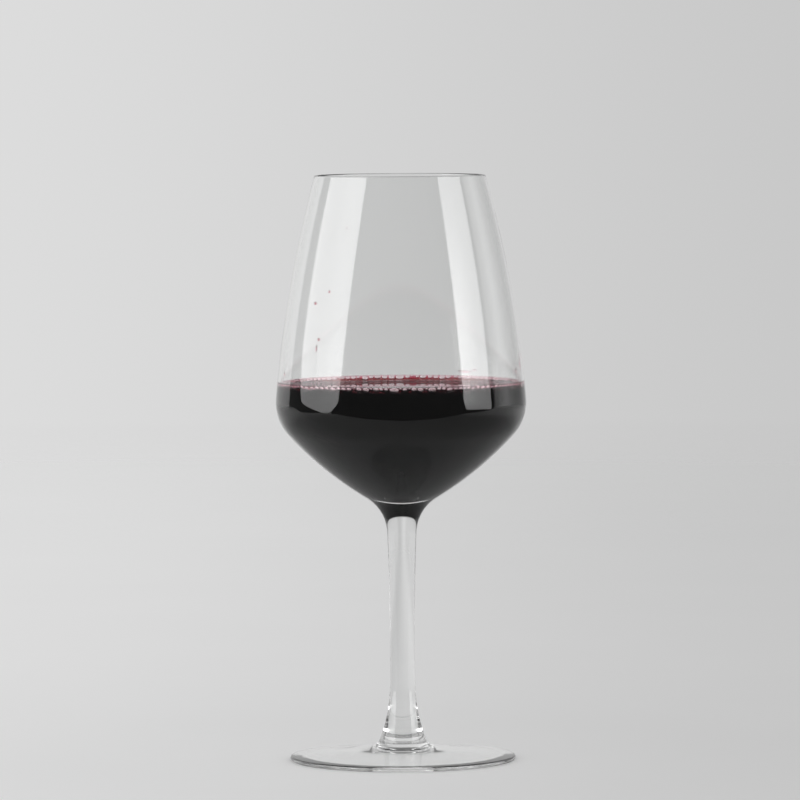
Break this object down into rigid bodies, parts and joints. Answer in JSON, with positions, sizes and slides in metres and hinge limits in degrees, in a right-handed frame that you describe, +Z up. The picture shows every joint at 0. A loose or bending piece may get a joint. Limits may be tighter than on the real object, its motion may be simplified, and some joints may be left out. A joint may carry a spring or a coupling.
{
  "type": "glass of red wine",
  "caption": "Clear stemmed tulip glass on a thin round foot, filled with red wine to just above its widest point.",
  "frame": {"origin": "centre of the foot, on the surface that the glass stands on", "axes": "+Z up along the stem and the bowl; the part is round about Z, and -Y faces the viewer"},
  "size_m": [0.0962, 0.0962, 0.225],
  "materials": {
    "clear_glass": "clear polished soda-lime glass, no tint",
    "red_wine": "clear dark red liquid, nearly black in depth, with a ring of bubbles at the wall"
  },
  "bodies": {
    "root": {"glass": "clear_glass", "wine": "red_wine"}
  },
  "joints": []
}
